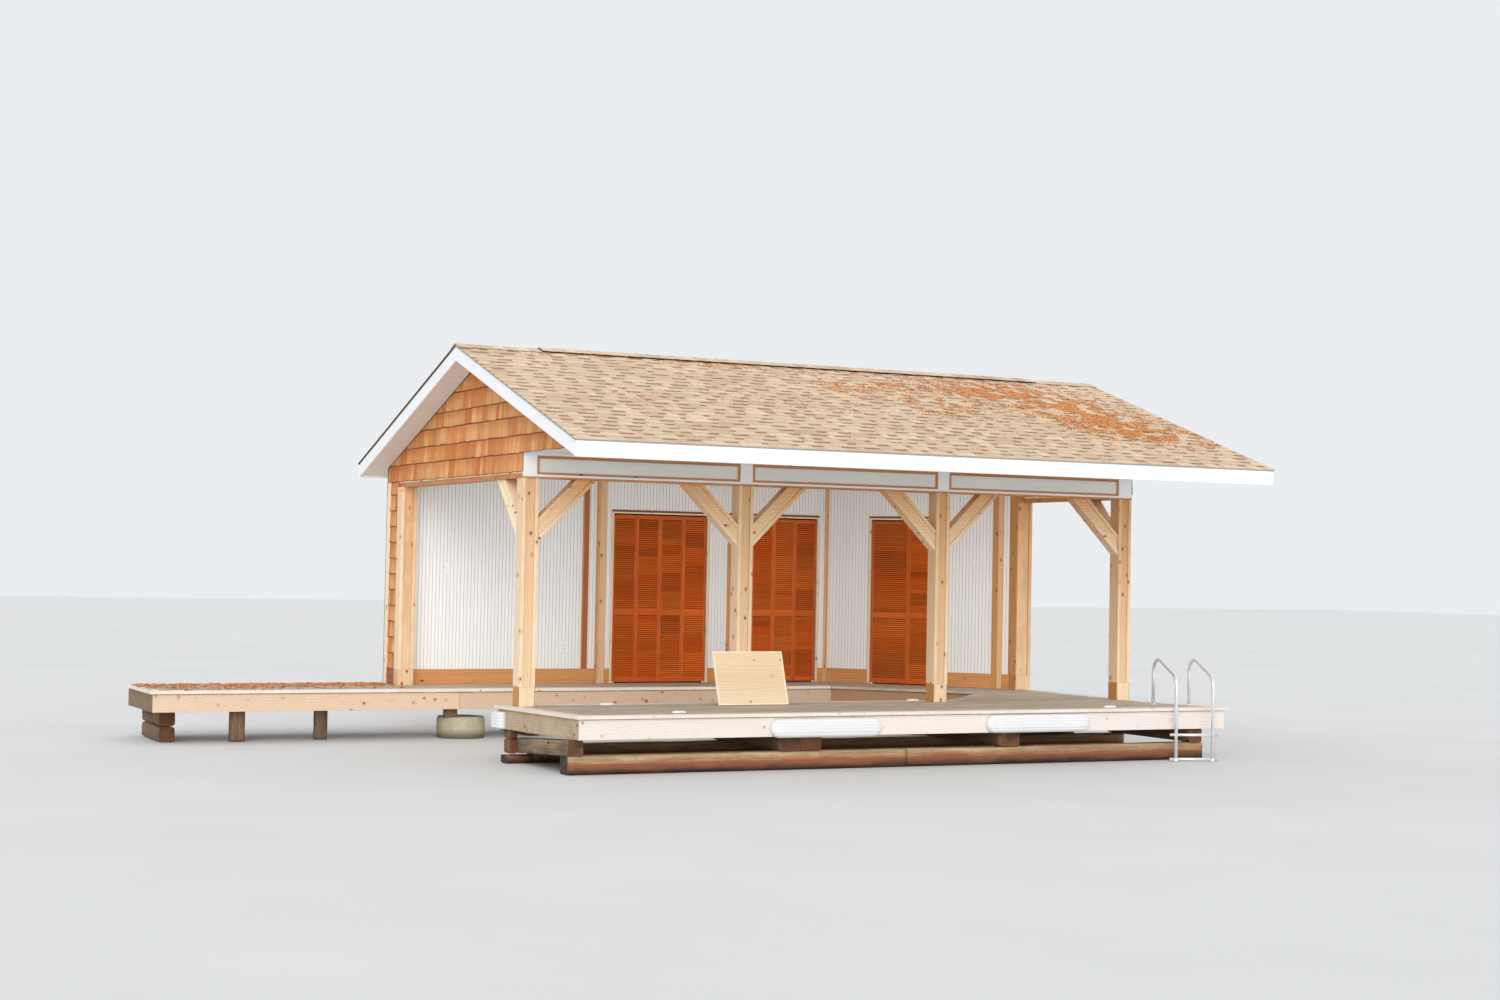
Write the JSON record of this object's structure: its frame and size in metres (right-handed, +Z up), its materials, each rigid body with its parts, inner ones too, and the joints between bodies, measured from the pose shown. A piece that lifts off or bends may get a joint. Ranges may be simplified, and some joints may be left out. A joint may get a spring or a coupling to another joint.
{
  "type": "boathouse",
  "caption": "Open-fronted gable-roofed boathouse: a roofed boat slip between a timber-crib dock and a shore walk, with a back wall of folding louvred closet doors.",
  "frame": {"origin": "middle of the whole footprint (walk and roof included) at the lowest point, the waterline where the crib logs and piles end", "axes": "+X along the water front to the viewer's right, +Y from the water towards the shore, +Z up"},
  "size_m": [10.95, 7.002, 4.399],
  "materials": {
    "weathered_timber": "damp, weathered crib timber",
    "concrete": "rough cast concrete",
    "pale_board": "raw pine board with knots",
    "deck_board": "weathered deck boards",
    "cedar": "clear-finished cedar, knotty",
    "white_paint": "painted beaded boards and trim, satin",
    "white_soffit": "ribbed soffit panels, matt",
    "cedar_shingle": "sawn cedar shingles",
    "door_stain": "orange-brown stained louvred wood",
    "roof_shingle": "mineral-surfaced roof shingles",
    "framing": "sawn framing lumber",
    "white_plastic": "smooth moulded plastic",
    "white_vinyl": "soft white vinyl",
    "aluminium_tube": "brushed tube"
  },
  "bodies": {
    "root": {"back_wall": "white_paint", "baseboards": "cedar", "beam_trim": "cedar", "ceiling": "white_soffit", "corner_posts": "cedar", "crib_cross_timbers": "weathered_timber", "crib_logs": "weathered_timber", "deck_lights": "white_plastic", "dock_bumpers": "white_vinyl", "dock_decking": "deck_board", "dock_edge_boards": "pale_board", "dock_frame": "weathered_timber", "door_head_trim": "cedar", "eave_fascias": "white_paint", "eave_soffits": "white_soffit", "end_walls": "white_paint", "folding_door_1": "door_stain", "folding_door_2": "door_stain", "folding_door_3": "door_stain", "front_beam": "white_paint", "front_braces": "cedar", "front_posts": "cedar", "gable_shingles": "cedar_shingle", "gable_walls": "white_paint", "outer_back_wall": "white_paint", "rake_boards": "white_paint", "rake_soffits": "white_soffit", "ridge_vent": "roof_shingle", "right_decking": "deck_board", "roof_back": "roof_shingle", "roof_frame": "framing", "roof_front": "roof_shingle", "round_pier": "concrete", "shore_frame": "weathered_timber", "shore_supports": "weathered_timber", "side_braces": "cedar", "side_headers": "cedar", "sign_board": "pale_board", "slanted_wall": "white_paint", "swim_ladder": "aluminium_tube", "walk_decking": "deck_board", "walk_edge_boards": "pale_board", "wall_battens": "cedar", "wall_plates": "white_plastic", "wall_shingles": "cedar_shingle"}
  },
  "joints": []
}
